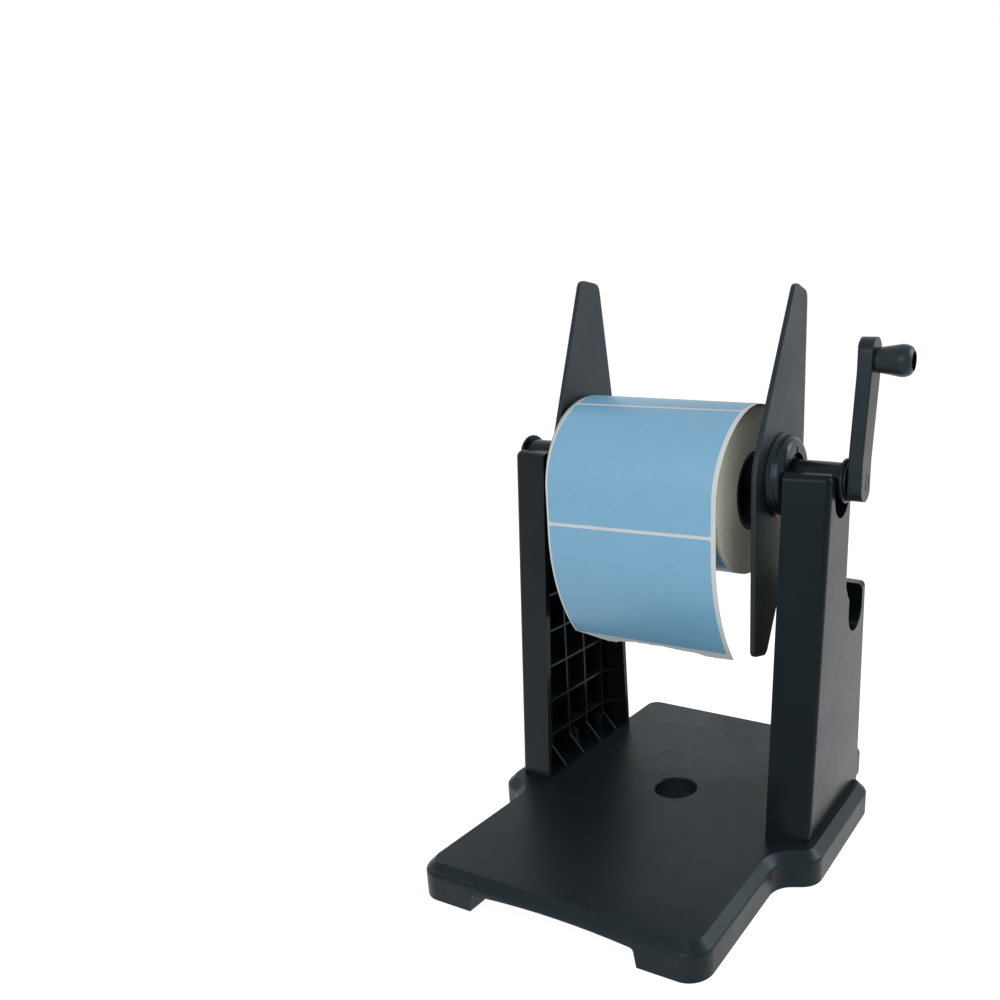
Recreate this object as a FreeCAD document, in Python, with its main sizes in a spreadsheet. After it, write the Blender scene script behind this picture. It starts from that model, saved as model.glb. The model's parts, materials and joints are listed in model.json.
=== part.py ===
import FreeCAD, Part
import math
import os
import re
import Sketcher

# Manual label rewinder: a moulded base with two uprights that carry a cranked
# spindle, with a flange on each side of the roll of labels.
#
# Frame in millimetres: +X along the spindle towards the crank, +Z up, and the
# operator at -Y. The origin is the centre of the hole in the base plate, at the
# level that the feet stand on.

SIZES = {
    # Base plate
    "base_half_width": 86.4,
    "base_front": 133.5,
    "base_rear": 118.5,
    "base_top": 20.7,
    "base_wall": 3.0,
    "base_skin": 3.4,
    "base_edge_bevel": 5.3,
    "base_edge_soft": 3.0,
    "skirt_lift": 0.6,
    "front_corner_radius": 13.0,
    "rear_corner_radius": 12.5,
    "cavity_corner_radius": 10.0,
    "ear_ledge": 8.8,
    "ear_front": 40.1,
    "ear_rear": 55.3,
    "ear_slope": 9.8,
    "ear_corner_radius": 13.0,
    "ear_root_radius": 14.0,
    "ear_cavity_front": 22.0,
    "ear_cavity_rear": 58.0,
    "arch_half_width": 50.9,
    "arch_height": 13.6,
    "arch_rise": 2.6,
    "arch_side_slope": 2.0,
    "arch_radius": 2.5,
    "foot_block_depth": 11.6,
    "base_rib_thickness": 2.2,
    "base_rib_foot": 11.5,
    "base_rib_pitch": 26.0,
    "base_hole_radius": 13.0,
    "base_hole_chamfer": 0.8,
    "base_collar_wall": 3.0,
    # Rubber feet under the corners
    "foot_radius": 8.0,
    "foot_height": 2.4,
    "foot_boss_wall": 2.0,
    "foot_inset_side": 18.4,
    "foot_inset_front": 23.5,
    "foot_inset_rear": 21.5,
    # Uprights: the rim faces the roll, the face looks outwards
    "upright_rim": 73.9,
    "upright_face": 98.2,
    "upright_lip": 5.1,
    "upright_wall": 3.0,
    "upright_edge_radius": 4.0,
    "upright_top_radius": 3.9,
    "front_flare": 5.6,
    "rear_flare": 1.3,
    "face_front": 31.6,
    "face_rear": 58.3,
    "front_lean": 12.2,
    "rear_lean": 4.9,
    "column_rear": 16.7,
    "ledge_top": 152.7,
    "flare_height": 7.0,
    "flare_foot": 21.0,
    "spindle_notch_radius": 11.6,
    "spindle_notch_offset": 1.0,
    "spare_notch_radius": 12.5,
    "spare_notch_offset": 33.0,
    "notch_depth": 24.8,
    "rib_recess": 11.7,
    "rib_thickness": 1.4,
    "rib_pitch_height": 23.2,
    "rib_pitch_depth": 20.2,
    "rib_first_height": 42.0,
    "rib_first_depth": 16.6,
    "rib_gusset": 8.0,
    "rib_rear_gusset": 12.0,
    "rib_foot_gusset": 12.0,
    # Screws that hold the uprights, driven up from under the base
    "screw_radius": 2.0,
    "screw_head_radius": 4.0,
    "screw_head_height": 2.6,
    "screw_length": 20.0,
    "screw_play": 0.05,
    "screw_inset": 8.6,
    "screw_first": 18.0,
    "screw_pitch": 30.0,
    "boss_radius": 4.3,
    "boss_height": 14.0,
    "base_boss_foot": 11.0,
    # Spindle, in line with the uprights' notches
    "spindle_offset": 6.9,
    "spindle_height": 220.3,
    "spindle_radius": 9.3,
    "journal_radius": 6.0,
    "spindle_tail_end": 103.8,
    "clip_groove_radius": 4.8,
    "running_gap": 0.05,
    "side_gap": 0.3,
    # Bushes on the journals, and the saddles that hold them in the notches
    "bush_flange_radius": 11.7,
    "bush_flange_thickness": 2.4,
    "bush_stand_off": 0.3,
    "saddle_inset": 2.0,
    "saddle_recess": 7.7,
    "washer_radius": 10.6,
    "washer_thickness": 1.1,
    "clip_radius": 8.8,
    "clip_thickness": 1.0,
    # Crank
    "crank_throw": 60.9,
    "crank_half_width": 8.3,
    "crank_inner": 102.4,
    "crank_thickness": 7.9,
    "crank_joggle": 2.1,
    "crank_joggle_start": 11.0,
    "crank_joggle_end": 55.0,
    "crank_foot_end": 10.4,
    "crank_head_end": 11.0,
    "crank_edge_radius": 1.2,
    "crank_socket_radius": 4.5,
    "crank_socket_depth": 4.0,
    "crank_screw_radius": 2.5,
    "crank_screw_head": 4.6,
    "crank_screw_cone": 2.3,
    "crank_screw_length": 18.0,
    # Knob on its shoulder screw
    "knob_neck_radius": 6.3,
    "knob_radius": 7.9,
    "knob_length": 18.0,
    "knob_end_radius": 5.0,
    "knob_recess_radius": 4.2,
    "knob_recess_depth": 2.3,
    "knob_washer_thickness": 0.6,
    "knob_pin_radius": 3.0,
    "knob_pin_head_radius": 3.7,
    "knob_pin_head_height": 1.5,
    # Flanges beside the roll
    "flange_inner": 59.9,
    "flange_thickness": 3.0,
    "flange_reach": 98.9,
    "flange_half_width": 34.5,
    "flange_tip_half_width": 8.75,
    "flange_tip_radius": 5.0,
    "flange_waist_radius": 33.0,
    "right_flange_angle": 13.4,
    "left_flange_angle": 5.2,
    "hub_base_radius": 22.8,
    "hub_base_thickness": 1.6,
    "hub_radius": 21.3,
    "hub_length": 8.9,
    "hub_edge_radius": 5.0,
    "hub_bore_radius": 12.6,
    "hub_spigot_radius": 15.0,
    "hub_spigot_length": 2.6,
    "hub_slit_width": 1.8,
    "hub_slit_height": 3.2,
    "hub_slit_depth": 3.0,
    "grip_recess": 3.0,
    "grip_length": 5.4,
    # Roll of labels: core, winding and the web that hangs from it
    "roll_left": 57.3,
    "roll_width": 104.0,
    "roll_radius": 46.35,
    "core_bore_radius": 19.05,
    "core_wall": 2.5,
    "web_thickness": 0.5,
    "web_straight": 25.0,
    "web_curl_radius": 105.0,
    "web_curl_angle": 41.0,
    "label_margin": 2.0,
    "label_thickness": 0.3,
    "label_top": 20.2,
    "label_gap": 1.8,
    "label_length": 73.0,
}

# Sizes that follow from what each thing is carried by or carries
FOLLOWING = {
    "ear_half_width": "=upright_face + ear_ledge",
    "foot_spacing_x": "=base_half_width - foot_inset_side",
    "foot_front": "=base_front - foot_inset_front",
    "foot_rear": "=base_rear - foot_inset_rear",
    "upright_top": "=spindle_height + upright_lip",
    "screw_line": "=upright_face - screw_inset",
}

doc = FreeCAD.newDocument("LabelRewinder")
sheet = doc.addObject("Spreadsheet::Sheet", "Sizes")
for row, (alias, value) in enumerate([*SIZES.items(), *FOLLOWING.items()], start=1):
    sheet.set("A%d" % row, alias)
    sheet.set("B%d" % row, str(value))
    sheet.setAlias("B%d" % row, alias)
doc.recompute()

nodes = []
X_AXIS = FreeCAD.Vector(1, 0, 0)
Y_AXIS = FreeCAD.Vector(0, 1, 0)
SIDES = (("right", 1), ("left", -1))


# Building blocks: bodies, outlines, pads, turned parts and plain solids


def sized(text):
    """Turn each name in a formula into the sheet cell of that name."""
    return re.sub(r"\b([a-z]\w*)\b(?!\()", r"Sizes.\1", text)


def bind(thing, prop, text):
    """Bind a property to a formula of the sheet's sizes."""
    thing.setExpression(prop, sized(text))


def place(thing, x="0", y="0", z="0"):
    """Put a sub-part's origin at a point given by formulas."""
    bind(thing, ".Placement.Base.x", x)
    bind(thing, ".Placement.Base.y", y)
    bind(thing, ".Placement.Base.z", z)


def on_spindle(thing, x="0", rise="0"):
    """Put a sub-part's origin on the spindle's axis, or above it."""
    place(thing, x, "spindle_offset", "spindle_height + " + rise)


def new_body(name):
    """Start a PartDesign body."""
    return doc.addObject("PartDesign::Body", name)


def origin_plane(body, role):
    """The body's own origin plane of this role."""
    return [item for item in body.Origin.OriginFeatures if item.Role == role][0]


def attached_sketch(body, name, role, lift="0"):
    """An empty sketch on an origin plane, raised along the plane's normal."""
    sketch = body.newObject("Sketcher::SketchObject", name)
    sketch.AttachmentSupport = [(origin_plane(body, role), "")]
    sketch.MapMode = "FlatFace"
    bind(sketch, ".AttachmentOffset.Base.z", lift)
    return sketch


def outline(body, name, role, corners, lift="0", crown=None):
    """A closed outline of straight edges, its corners fixed by formulas.

    The corners start on a circle, and their constraints move them into place. A
    crown makes one edge an arc: the number of its first corner, and how far up the
    arc's centre lies.
    """
    sketch = attached_sketch(body, name, role, lift)
    count = len(corners)
    starts = []
    for number in range(count):
        turn = 2 * math.pi * number / count
        starts.append(FreeCAD.Vector(10 * math.cos(turn), 10 * math.sin(turn), 0))
    for number, start in enumerate(starts):
        edge = Part.LineSegment(start, starts[(number + 1) % count])
        if crown and number == crown[0]:
            circle = Part.Circle(FreeCAD.Vector(), FreeCAD.Vector(0, 0, 1), 10)
            edge = Part.ArcOfCircle(circle, 2 * math.pi * number / count,
                                    2 * math.pi * (number + 1) / count)
        sketch.addGeometry(edge)
    rules = []
    for number in range(count):
        rules.append(Sketcher.Constraint("Coincident", number, 2, (number + 1) % count, 1))
    for number, start in enumerate(starts):
        rules.append(Sketcher.Constraint("DistanceX", -1, 1, number, 1, start.x))
        rules.append(Sketcher.Constraint("DistanceY", -1, 1, number, 1, start.y))
    sketch.addConstraint(rules)
    for number, (across, up) in enumerate(corners):
        bind(sketch, "Constraints[%d]" % (count + 2 * number), across)
        bind(sketch, "Constraints[%d]" % (count + 2 * number + 1), up)
    if crown:
        doc.recompute()
        rule = sketch.addConstraint(Sketcher.Constraint("DistanceY", -1, 1, crown[0], 3, -1))
        bind(sketch, "Constraints[%d]" % rule, crown[1])
    return sketch


def rectangle(body, name, role, low_x, high_x, low_y, high_y, lift="0"):
    """A rectangular outline between formulas."""
    corners = [(low_x, low_y), (high_x, low_y), (high_x, high_y), (low_x, high_y)]
    return outline(body, name, role, corners, lift)


def pad(body, name, sketch, length, midplane=False):
    """Pad a sketch along its normal, or to both sides of its plane."""
    feature = body.newObject("PartDesign::Pad", name)
    feature.Profile = sketch
    bind(feature, "Length", length)
    feature.Midplane = midplane
    body.Tip = feature
    doc.recompute()
    return feature


def pocket(body, name, sketch, depth, reverse=False, midplane=False, lean=None):
    """Cut a sketch into the body, and check that it removes material.

    A lean is the direction of a slanting cut, as three formulas.
    """
    before = body.Shape.Volume
    feature = body.newObject("PartDesign::Pocket", name)
    feature.Profile = sketch
    bind(feature, "Length", depth)
    feature.Reversed = reverse
    feature.Midplane = midplane
    if lean:
        feature.UseCustomVector = True
        for axis, formula in zip("xyz", lean):
            bind(feature, "Direction." + axis, formula)
    body.Tip = feature
    doc.recompute()
    if not body.Shape.Volume < before - 0.01:
        raise ValueError(name + " removes nothing")
    return feature


def repeat(body, name, feature, sketch, axis, pitch, copies):
    """Repeat a feature in a line along one axis of its sketch."""
    pattern = body.newObject("PartDesign::LinearPattern", name)
    pattern.Originals = [feature]
    pattern.Direction = (sketch, [axis])
    bind(pattern, "Length", "(%s) * %d" % (pitch, copies - 1))
    pattern.Occurrences = copies
    body.Tip = pattern
    doc.recompute()
    return pattern


def edge_names(shape, test):
    """Names of the edges whose ends and middle point pass a test."""
    names = []
    for number, edge in enumerate(shape.Edges, start=1):
        middle = edge.valueAt((edge.FirstParameter + edge.LastParameter) / 2)
        if test(edge, middle):
            names.append("Edge%d" % number)
    return names


def dress_edges(body, name, kind, size, test):
    """Fillet or chamfer the edges of a body that pass a test."""
    base = body.Tip
    names = edge_names(base.Shape, test)
    if not names:
        raise ValueError(name + " finds no edge")
    feature = body.newObject("PartDesign::" + kind, name)
    feature.Base = (base, names)
    bind(feature, "Radius" if kind == "Fillet" else "Size", size)
    body.Tip = feature
    doc.recompute()
    return feature


def round_edges(body, name, radius, test):
    """Fillet the edges of a body that pass a test."""
    return dress_edges(body, name, "Fillet", radius, test)


def turned(name, corners, axis="H_Axis"):
    """A turned body: an outline in the XZ plane, spun about one of its axes."""
    body = new_body(name)
    sketch = outline(body, name + "Profile", "XZ_Plane", corners)
    spin = body.newObject("PartDesign::Revolution", name + "Turn")
    spin.Profile = sketch
    spin.ReferenceAxis = (sketch, [axis])
    spin.Angle = 360
    doc.recompute()
    return body


def ring(name, low_x, high_x, bore, radius):
    """A plain ring along X, between two planes and two radii."""
    return turned(name, [(low_x, bore), (high_x, bore), (high_x, radius), (low_x, radius)])


def bar(name, radius, length, x, y, z):
    """A cylinder along +X, from a point."""
    cylinder = doc.addObject("Part::Cylinder", name)
    bind(cylinder, "Radius", radius)
    bind(cylinder, "Height", length)
    cylinder.Placement = FreeCAD.Placement(FreeCAD.Vector(), FreeCAD.Rotation(Y_AXIS, 90))
    place(cylinder, x, y, z)
    return cylinder


def post(name, radius, height, x, y, z):
    """A cylinder along +Z, from a point."""
    cylinder = doc.addObject("Part::Cylinder", name)
    bind(cylinder, "Radius", radius)
    bind(cylinder, "Height", height)
    place(cylinder, x, y, z)
    return cylinder


def block(name, size_x, size_y, size_z, x, y, z):
    """A box from its low corner."""
    box = doc.addObject("Part::Box", name)
    bind(box, "Length", size_x)
    bind(box, "Width", size_y)
    bind(box, "Height", size_z)
    place(box, x, y, z)
    return box


def joined(name, parts):
    """Several solids fused into one."""
    fuse = doc.addObject("Part::MultiFuse", name)
    fuse.Shapes = parts
    return fuse


def cut(name, base, tool):
    """One solid with another taken away."""
    result = doc.addObject("Part::Cut", name)
    result.Base = base
    result.Tool = tool
    return result


def shared(name, base, tool):
    """What two solids have in common."""
    result = doc.addObject("Part::Common", name)
    result.Base = base
    result.Tool = tool
    return result


def mirrored(name, source):
    """A solid mirrored to the other side of the machine."""
    mirror = doc.addObject("Part::Mirroring", name)
    mirror.Source = source
    mirror.Base = FreeCAD.Vector(0, 0, 0)
    mirror.Normal = X_AXIS
    return mirror


def keep(node, thing):
    """Name a finished sub-part and list it for writing."""
    thing.Label = node
    nodes.append(thing)


def upright_edge(edge, middle):
    """True for an edge that runs straight up."""
    ends = [vertex.Point for vertex in edge.Vertexes]
    if len(ends) < 2:
        return False
    run = ends[1] - ends[0]
    return abs(run.z) > 1 and math.hypot(run.x, run.y) < 0.01


# Base: a hollow moulding with an ear on each side under its upright


def build_base():
    """The moulded base, with ribs, bosses and the collar of its hole."""
    body = new_body("BaseOuter")
    right_side = [
        ("base_half_width", "-base_front"),
        ("base_half_width", "spindle_offset - ear_front - ear_slope"),
        ("ear_half_width", "spindle_offset - ear_front"),
        ("ear_half_width", "spindle_offset + ear_rear"),
        ("base_half_width", "spindle_offset + ear_rear + ear_slope"),
        ("base_half_width", "base_rear"),
    ]
    left_side = [("-" + across, along) for across, along in reversed(right_side)]
    sketch = outline(body, "BaseOutline", "XY_Plane", right_side + left_side, "skirt_lift")
    pad(body, "BaseBlock", sketch, "base_top - skirt_lift")

    def at_width(alias):
        """True for the upright edges at this distance from the middle."""
        width = sheet.get(alias)
        return lambda edge, middle: (
            upright_edge(edge, middle) and abs(abs(middle.x) - width) < 0.1
        )

    front = -sheet.get("base_front")
    rear = sheet.get("base_rear")
    at_plate = at_width("base_half_width")
    round_edges(body, "FrontCorners", "front_corner_radius",
                lambda edge, middle: at_plate(edge, middle) and abs(middle.y - front) < 0.1)
    round_edges(body, "RearCorners", "rear_corner_radius",
                lambda edge, middle: at_plate(edge, middle) and abs(middle.y - rear) < 0.1)
    round_edges(body, "EarCorners", "ear_corner_radius", at_width("ear_half_width"))
    first = sheet.get("spindle_offset") - sheet.get("ear_front") - sheet.get("ear_slope")
    last = sheet.get("spindle_offset") + sheet.get("ear_rear") + sheet.get("ear_slope")
    round_edges(body, "EarRoots", "ear_root_radius",
                lambda edge, middle: at_plate(edge, middle)
                and min(abs(middle.y - first), abs(middle.y - last)) < 0.1)
    top = sheet.get("base_top")
    dress_edges(body, "TopEdge", "Chamfer", "base_edge_bevel",
                lambda edge, middle: abs(middle.z - top) < 0.01)
    below = top - sheet.get("base_edge_bevel")
    round_edges(body, "BevelFoot", "base_edge_soft",
                lambda edge, middle: abs(middle.z - below) < 0.01
                and edge.BoundBox.ZLength < 0.01)

    cavity = new_body("BaseCavity")
    depth = "base_top - base_skin - skirt_lift"
    inner = "base_half_width - base_wall"
    sketch = rectangle(cavity, "CavityOutline", "XY_Plane", "-(%s)" % inner, inner,
                       "base_wall - base_front", "base_rear - base_wall", "skirt_lift")
    pad(cavity, "CavityBlock", sketch, depth)
    round_edges(cavity, "CavityCorners", "cavity_corner_radius", upright_edge)
    ear_inner = "ear_half_width - base_wall"
    sketch = rectangle(cavity, "EarCavityOutline", "XY_Plane", "-(%s)" % ear_inner, ear_inner,
                       "spindle_offset - ear_cavity_front",
                       "spindle_offset + ear_cavity_rear - ear_slope", "skirt_lift")
    pad(cavity, "EarCavityBlock", sketch, depth)

    ribs = new_body("BaseRibs")
    rib_height = "base_top - base_skin - base_rib_foot"
    sketch = rectangle(ribs, "CrossRibOutline", "XY_Plane", "-(%s)" % inner, inner,
                       "-base_rib_thickness / 2 - 4 * base_rib_pitch",
                       "base_rib_thickness / 2 - 4 * base_rib_pitch", "base_rib_foot")
    rib = pad(ribs, "CrossRib", sketch, rib_height)
    ribs.AllowCompound = True
    repeat(ribs, "CrossRibs", rib, sketch, "V_Axis", "base_rib_pitch", 9)
    sketch = rectangle(ribs, "LongRibOutline", "XY_Plane",
                       "-base_rib_thickness / 2 - 2 * base_rib_pitch",
                       "base_rib_thickness / 2 - 2 * base_rib_pitch",
                       "-4 * base_rib_pitch", "base_rear - base_wall", "base_rib_foot")
    rib = pad(ribs, "LongRib", sketch, rib_height)
    repeat(ribs, "LongRibs", rib, sketch, "H_Axis", "base_rib_pitch", 5)

    additions = [cut("BaseShell", body, cavity), ribs]
    holes = []
    inset = "front_corner_radius * 0.7"
    arch_top = "arch_half_width - arch_side_slope"
    for side, sign in SIDES:
        edges = [arch_top, "base_half_width - " + inset]
        if sign < 0:
            edges = ["-(%s)" % edge for edge in reversed(edges)]
        foot_block = new_body(side.title() + "FootBlock")
        sketch = rectangle(foot_block, side.title() + "FootBlockOutline", "XY_Plane",
                           edges[0], edges[1], "base_wall / 2 - base_front",
                           "foot_block_depth - base_front", "skirt_lift")
        pad(foot_block, side.title() + "FootBlockPad", sketch, depth)
        additions.append(foot_block)
    additions.append(post("HoleCollar", "base_hole_radius + base_collar_wall",
                          "base_top - base_skin / 2", "0", "0", "0"))
    holes.append(post("BaseHole", "base_hole_radius", "2 * base_top", "0", "0", "-base_top / 2"))
    for side, sign in SIDES:
        for end, y in (("Front", "-foot_front"), ("Rear", "foot_rear")):
            x = "foot_spacing_x * %d" % sign
            additions.append(post("FootBoss" + side.title() + end,
                                  "foot_radius + foot_boss_wall",
                                  "base_top - base_skin / 2 - skirt_lift", x, y, "skirt_lift"))
            holes.append(post("FootSeat" + side.title() + end, "foot_radius + side_gap",
                              "foot_height", x, y, "0"))
        for number in range(3):
            x = "screw_line * %d" % sign
            y = "spindle_offset - screw_first + screw_pitch * %d" % number
            tag = side.title() + str(number)
            additions.append(post("BaseBoss" + tag, "boss_radius",
                                  "base_top - base_skin / 2 - base_boss_foot", x, y,
                                  "base_boss_foot"))
            holes.append(post("BaseBossHole" + tag, "screw_radius + screw_play",
                              "base_top", x, y, "base_boss_foot - 1"))

    arch = new_body("ArchCutter")
    springing = "arch_height - arch_rise"
    sketch = outline(arch, "ArchOutline", "XZ_Plane", [
        ("-arch_half_width", "0"),
        ("arch_half_width", "0"),
        (arch_top, springing),
        ("-(%s)" % arch_top, springing),
    ], "base_front + 1", crown=(2, "arch_height - ((%s)^2 + arch_rise^2) / (2 * arch_rise)"
                                % arch_top))
    pad(arch, "ArchBlock", sketch, "foot_block_depth + 1")
    doc.recompute()
    arch.Tip.Reversed = True
    doc.recompute()
    spring_height = sheet.get("arch_height") - sheet.get("arch_rise")
    round_edges(arch, "ArchCorners", "arch_radius",
                lambda edge, middle: abs(middle.z - spring_height) < 0.01
                and edge.BoundBox.YLength > 1)
    holes.append(arch)

    bevel = doc.addObject("Part::Cone", "HoleBevel")
    bind(bevel, "Radius1", "base_hole_radius")
    bind(bevel, "Radius2", "base_hole_radius + base_hole_chamfer")
    bind(bevel, "Height", "base_hole_chamfer")
    place(bevel, z="base_top - base_hole_chamfer")
    holes.append(bevel)

    solid = joined("BaseSolid", additions)
    keep("base", cut("Base", solid, joined("BaseHoles", holes)))


def build_feet():
    """Four rubber pads in the seats under the base."""
    for side, sign in SIDES:
        for end, y in (("front", "-foot_front"), ("rear", "foot_rear")):
            pad_body = turned("Foot" + side.title() + end.title(), [
                ("0", "0"),
                ("foot_radius - 0.6", "0"),
                ("foot_radius", "0.6"),
                ("foot_radius", "foot_height"),
                ("0", "foot_height"),
            ], "V_Axis")
            place(pad_body, "foot_spacing_x * %d" % sign, y, "0")
            keep("foot_%s_%s" % (end, side), pad_body)


# Uprights: hollow mouldings, open towards the roll, with a lattice of ribs


def tapered(name, corners, front, rear, rim, thickness):
    """A body padded outwards from its rim, its front and rear sliced to taper outwards.

    The outline's own front and rear edges are those at the rim, and each slice
    leans in step with them.
    """
    body = new_body(name)
    sketch = outline(body, name + "Outline", "YZ_Plane", corners, rim)
    pad(body, name + "Block", sketch, thickness)
    span = "(upright_face - upright_rim)"
    for side, sign, edge, flare, lean, height in (
            ("Front", -1, front, "front_flare", "front_lean", "(upright_top - base_top)"),
            ("Rear", 1, rear, "rear_flare", "rear_lean", "(ledge_top - base_top)")):
        near = "%d * (%s + 2 * %s / %s)" % (sign, edge, flare, span)
        away = "%d * (%s - %s - 2 * %s / %s)" % (sign, edge, flare, flare, span)
        beyond = "%d * (%s + 4)" % (sign, edge)
        sketch = outline(body, name + side + "Plan", "XY_Plane", [
            ("upright_rim - 2", near),
            ("upright_face + 2", away),
            ("upright_face + 2", beyond),
            ("upright_rim - 2", beyond),
        ], "base_top")
        pocket(body, name + side + "Slice", sketch, height + " + 1",
               lean=("0", "%d * %s" % (-sign, lean), height))
    place(body, y="spindle_offset")
    return body


def notch(name, radius, offset, top):
    """A round-bottomed notch right through an upright."""
    start = "upright_rim - upright_wall"
    through = "upright_face - upright_rim + 2 * upright_wall"
    centre = "%s - notch_depth + %s" % (top, radius)
    middle = "spindle_offset + (%s)" % offset
    floor = bar(name + "Floor", radius, through, start, middle, centre)
    mouth = block(name + "Mouth", through, "2 * " + radius, "notch_depth", start,
                  middle + " - " + radius, centre)
    return joined(name, [floor, mouth])


def build_uprights():
    """The right upright, and the left one as its mirror image."""
    rim_front = "(face_front + front_flare)"
    rim_rear = "(face_rear + rear_flare)"
    outer = tapered("UprightOuter", [
        ("-" + rim_front, "base_top"),
        ("front_lean - " + rim_front, "upright_top"),
        ("column_rear", "upright_top"),
        ("column_rear", "ledge_top + flare_height"),
        ("flare_foot", "ledge_top"),
        (rim_rear + " - rear_lean", "ledge_top"),
        (rim_rear, "base_top"),
    ], rim_front, rim_rear, "upright_rim", "upright_face - upright_rim")
    face = sheet.get("upright_face")
    foot = sheet.get("base_top")
    top = sheet.get("upright_top")
    round_edges(outer, "UprightFaceEdges", "upright_edge_radius",
                lambda edge, middle: abs(middle.x - face) < 0.01 and middle.z > foot + 1)
    round_edges(outer, "UprightTopEdge", "upright_top_radius",
                lambda edge, middle: abs(middle.z - top) < 0.01 and middle.y < -10
                and edge.BoundBox.XLength > 5)

    floor = "base_top + upright_wall"
    roof = "upright_top - notch_depth - upright_wall"
    shelf = "ledge_top - notch_depth - upright_wall"
    flank = "spare_notch_offset - spare_notch_radius - upright_wall"
    cavity = tapered("UprightCavity", [
        ("upright_wall - " + rim_front, floor),
        ("upright_wall + front_lean - " + rim_front, roof),
        ("column_rear - upright_wall", roof),
        ("column_rear - upright_wall", "ledge_top + flare_height"),
        (flank, "ledge_top"),
        (flank, shelf),
        (rim_rear + " - rear_lean - upright_wall", shelf),
        (rim_rear + " - upright_wall", floor),
    ], rim_front + " - upright_wall", rim_rear + " - upright_wall", "upright_rim - 1",
       "upright_face - upright_rim - upright_wall + 1")
    shell = cut("UprightShell", outer, cavity)

    back = "upright_face - upright_wall / 2"
    crest = "upright_rim + rib_recess"
    shelves = new_body("UprightShelves")
    sketch = outline(shelves, "ShelfOutline", "XY_Plane", [
        (back, "-" + rim_front),
        ("upright_rim + 1", "-" + rim_front),
        ("upright_rim + 1", "upright_wall + 2 - " + rim_front),
        (crest, "upright_wall + rib_gusset - " + rim_front),
        (crest, rim_rear + " - upright_wall - rib_rear_gusset"),
        ("upright_rim + 1", rim_rear + " - upright_wall"),
        ("upright_rim + 1", rim_rear),
        (back, rim_rear),
    ], "rib_first_height")
    shelf_rib = pad(shelves, "ShelfRib", sketch, "rib_thickness")
    pattern = shelves.newObject("PartDesign::LinearPattern", "ShelfRibs")
    pattern.Originals = [shelf_rib]
    pattern.Direction = (origin_plane(shelves, "XY_Plane"), [""])
    bind(pattern, "Length", "rib_pitch_height * 6")
    pattern.Occurrences = 7
    shelves.AllowCompound = True
    shelves.Tip = pattern
    place(shelves, y="spindle_offset")

    stiles = new_body("UprightStiles")
    sketch = outline(stiles, "StileOutline", "XZ_Plane", [
        (back, "base_top + 1"),
        ("upright_rim + 1", "base_top + 1"),
        ("upright_rim + 1", "base_top + upright_wall"),
        (crest, "base_top + upright_wall + rib_foot_gusset"),
        (crest, "upright_top"),
        (back, "upright_top"),
    ])
    stile = pad(stiles, "Stile", sketch, "rib_thickness", midplane=True)
    pattern = stiles.newObject("PartDesign::LinearPattern", "Stiles")
    pattern.Originals = [stile]
    pattern.Direction = (origin_plane(stiles, "XZ_Plane"), [""])
    pattern.Reversed = True
    bind(pattern, "Length", "rib_pitch_depth * 3")
    pattern.Occurrences = 4
    stiles.AllowCompound = True
    stiles.Tip = pattern
    place(stiles, y="spindle_offset - rib_first_depth")

    lattice = shared("UprightLattice", joined("LatticeRibs", [shelves, stiles]), outer)
    additions = [shell, lattice]
    holes = [
        notch("SpindleNotch", "spindle_notch_radius", "-spindle_notch_offset", "upright_top"),
        notch("SpareNotch", "spare_notch_radius", "spare_notch_offset", "ledge_top"),
    ]
    for number in range(3):
        y = "spindle_offset - screw_first + screw_pitch * %d" % number
        additions.append(post("UprightBoss%d" % number, "boss_radius", "boss_height",
                              "screw_line", y, "base_top"))
        holes.append(post("UprightBossHole%d" % number, "screw_radius + screw_play",
                          "base_boss_foot + screw_length - base_top + 1", "screw_line", y,
                          "base_top - 1"))
    blank = joined("UprightBlank", additions)
    right = cut("RightUpright", blank, joined("UprightHoles", holes))
    keep("right_upright", right)
    keep("left_upright", mirrored("LeftUpright", right))


def build_upright_screws():
    """Three screws up into each upright, as one group of separate solids."""
    body = turned("UprightScrews", [
        ("0", "base_boss_foot - screw_head_height"),
        ("screw_head_radius", "base_boss_foot - screw_head_height"),
        ("screw_head_radius", "base_boss_foot"),
        ("screw_radius", "base_boss_foot"),
        ("screw_radius", "base_boss_foot + screw_length"),
        ("0", "base_boss_foot + screw_length"),
    ], "V_Axis")
    body.AllowCompound = True
    screw = body.Tip
    along = body.newObject("PartDesign::LinearPattern", "ScrewRow")
    along.Originals = [screw]
    along.Direction = (origin_plane(body, "XZ_Plane"), [""])
    along.Reversed = True
    bind(along, "Length", "screw_pitch * 2")
    along.Occurrences = 3
    body.Tip = along
    doc.recompute()
    place(body, "screw_line", "spindle_offset - screw_first")
    doc.recompute()
    left = mirrored("LeftUprightScrews", body)
    both = doc.addObject("Part::Compound", "UprightScrewGroup")
    both.Links = [body, left]
    keep("upright_screws", both)


# Bearings: a saddle fills the floor of each notch, and a flanged bush sits in it


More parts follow.
